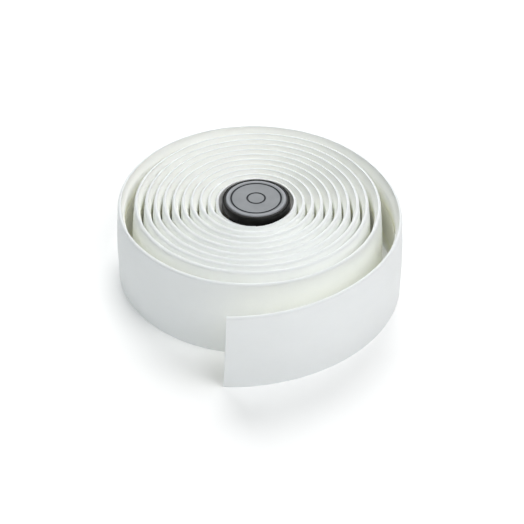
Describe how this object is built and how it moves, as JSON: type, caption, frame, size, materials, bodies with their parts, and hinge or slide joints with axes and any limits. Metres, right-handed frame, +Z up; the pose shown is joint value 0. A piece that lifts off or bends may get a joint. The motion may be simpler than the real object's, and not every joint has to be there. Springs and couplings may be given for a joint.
{
  "type": "bicycle handlebar tape roll",
  "caption": "Spiral roll of cushioned handlebar tape standing on its edge, with bevelled tape edges, a loose outer end and a push-in bar-end plug in its core.",
  "frame": {"origin": "Centre of the outline seen from above, on the surface that the roll stands on.", "axes": "+Z up along the axis of the winding, +Y away from the loose end, +X towards the side where the loose end leaves the coil."},
  "size_m": [0.0998, 0.1114, 0.0321],
  "materials": {
    "cover": "soft satin polyurethane, fine grain",
    "foam": "matt closed-cell foam",
    "adhesive": "tacky translucent film",
    "liner": "smooth siliconised paper",
    "plug_moulding": "satin black moulding",
    "badge": "satin grey"
  },
  "bodies": {
    "coil": {"coil_cover": "cover", "coil_foam": "foam", "coil_adhesive": "adhesive", "coil_liner": "liner"},
    "tail_1": {"tail_1_cover": "cover", "tail_1_foam": "foam", "tail_1_adhesive": "adhesive", "tail_1_liner": "liner"},
    "tail_2": {"tail_2_cover": "cover", "tail_2_foam": "foam", "tail_2_adhesive": "adhesive", "tail_2_liner": "liner"},
    "tail_3": {"tail_3_cover": "cover", "tail_3_foam": "foam", "tail_3_adhesive": "adhesive", "tail_3_liner": "liner"},
    "plug": {"plug_body": "plug_moulding", "plug_badge": "badge"}
  },
  "joints": [
    {"name": "tail_1_bend", "type": "hinge", "parent": "coil", "child": "tail_1", "pos_m": [0.02782, 0.04551, 0.015], "axis": [0, 0, 1], "range_deg": [-3, 30], "stiffness_Nm_per_rad": 0.003},
    {"name": "tail_2_bend", "type": "hinge", "parent": "tail_1", "child": "tail_2", "pos_m": [0.04912, 0.00973, 0.015], "axis": [0, 0, 1], "range_deg": [-5, 30], "stiffness_Nm_per_rad": 0.003},
    {"name": "tail_3_bend", "type": "hinge", "parent": "tail_2", "child": "tail_3", "pos_m": [0.03679, -0.03437, 0.015], "axis": [0, 0, 1], "range_deg": [-5, 35], "stiffness_Nm_per_rad": 0.003},
    {"name": "plug_lift", "type": "slide", "parent": "coil", "child": "plug", "axis": [0, 0, 1], "range_m": [0, 0.03]}
  ]
}
